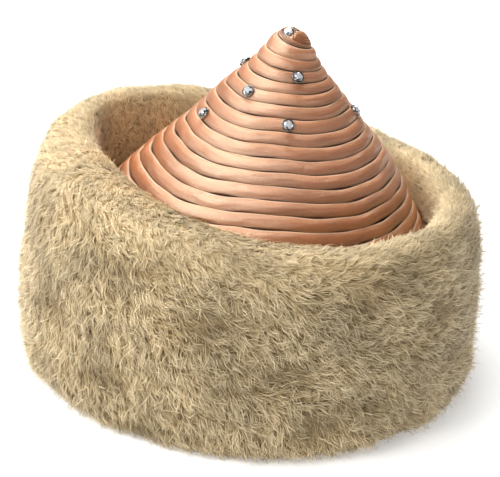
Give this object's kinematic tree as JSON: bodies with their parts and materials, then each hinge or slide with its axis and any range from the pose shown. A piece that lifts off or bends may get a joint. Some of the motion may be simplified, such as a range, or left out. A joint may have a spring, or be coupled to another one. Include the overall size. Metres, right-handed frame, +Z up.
{
  "type": "fur-cuffed wound turban hat",
  "caption": "Turban hat with a cone wound from padded satin cord, dotted with cut rhinestones, standing in a deep turned-up cuff of sheared fur, open below for the head.",
  "frame": {"origin": "middle of the hat on the surface it rests on, under the middle of the fur cuff", "axes": "+Z up towards the tip of the cone; -Y towards the wearer's face, the side the picture shows; +X to the right in the picture"},
  "size_m": [0.2514, 0.2729, 0.1833],
  "materials": {
    "fur": "matte",
    "satin": "satin",
    "crystal": "polished",
    "silver_metal": "polished"
  },
  "bodies": {
    "root": {"fur_cuff": "fur", "satin_coil": "satin", "stone_rim_01": "silver_metal", "stone_rim_02": "silver_metal", "stone_rim_03": "silver_metal", "stone_rim_04": "silver_metal", "stone_rim_05": "silver_metal", "stone_rim_06": "silver_metal", "stone_rim_07": "silver_metal", "stone_rim_08": "silver_metal", "stone_rim_09": "silver_metal", "stone_rim_10": "silver_metal", "stone_rim_11": "silver_metal", "stone_rim_12": "silver_metal", "rhinestone_01": "crystal", "rhinestone_02": "crystal", "rhinestone_03": "crystal", "rhinestone_04": "crystal", "rhinestone_05": "crystal", "rhinestone_06": "crystal", "rhinestone_07": "crystal", "rhinestone_08": "crystal", "rhinestone_09": "crystal", "rhinestone_10": "crystal", "rhinestone_11": "crystal", "rhinestone_12": "crystal"}
  },
  "joints": []
}
